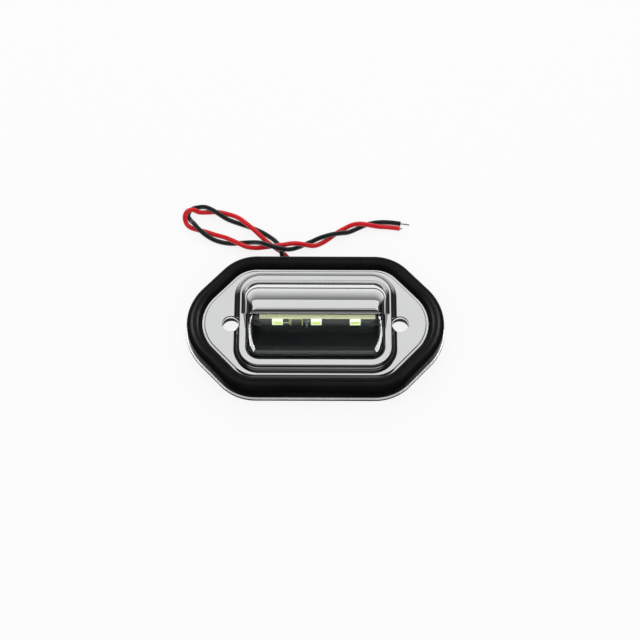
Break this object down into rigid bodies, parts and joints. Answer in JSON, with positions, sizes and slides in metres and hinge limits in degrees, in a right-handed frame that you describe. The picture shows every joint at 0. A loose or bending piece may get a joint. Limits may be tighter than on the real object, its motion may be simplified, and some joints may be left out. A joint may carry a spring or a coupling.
{
  "type": "clearance lamp",
  "caption": "Low hexagonal clearance lamp: chrome hood over a clear dome with LEDs on an upright board, black rubber gasket, twisted lead lying behind it.",
  "frame": {"origin": "centre of the gasket's underside, the plane the lamp is screwed to", "axes": "+X along the lamp through both screw holes, +Y towards the closed back of the hood, +Z out of the mounting face"},
  "size_m": [0.0884, 0.0736, 0.0159],
  "materials": {
    "rubber_gasket": "satin black moulded rubber",
    "chrome_cover": "bright chrome plating on moulded plastic",
    "clear_lens": "clear polished plastic",
    "light_box": "black plastic",
    "back_resin": "dark poured resin",
    "led_board": "glass-fibre board with a cut edge",
    "led_left": "white LED package",
    "led_middle": "white LED package",
    "led_right": "white LED package",
    "phosphor_left": "yellow phosphor gel",
    "phosphor_middle": "yellow phosphor gel",
    "phosphor_right": "yellow phosphor gel",
    "diode": "black moulded body",
    "resistor_upper": "dark ceramic chip with tinned caps",
    "resistor_lower": "dark ceramic chip with tinned caps",
    "solder_joints": "tin solder",
    "red_wire": "red soft insulation",
    "black_wire": "black soft insulation",
    "red_conductor": "tinned copper strands",
    "black_conductor": "tinned copper strands"
  },
  "bodies": {
    "root": {"rubber_gasket": "rubber_gasket", "chrome_cover": "chrome_cover", "clear_lens": "clear_lens", "light_box": "light_box", "back_resin": "back_resin", "led_board": "led_board", "led_left": "led_left", "led_middle": "led_middle", "led_right": "led_right", "phosphor_left": "phosphor_left", "phosphor_middle": "phosphor_middle", "phosphor_right": "phosphor_right", "diode": "diode", "resistor_upper": "resistor_upper", "resistor_lower": "resistor_lower", "solder_joints": "solder_joints", "red_wire": "red_wire", "black_wire": "black_wire", "red_conductor": "red_conductor", "black_conductor": "black_conductor"}
  },
  "joints": []
}
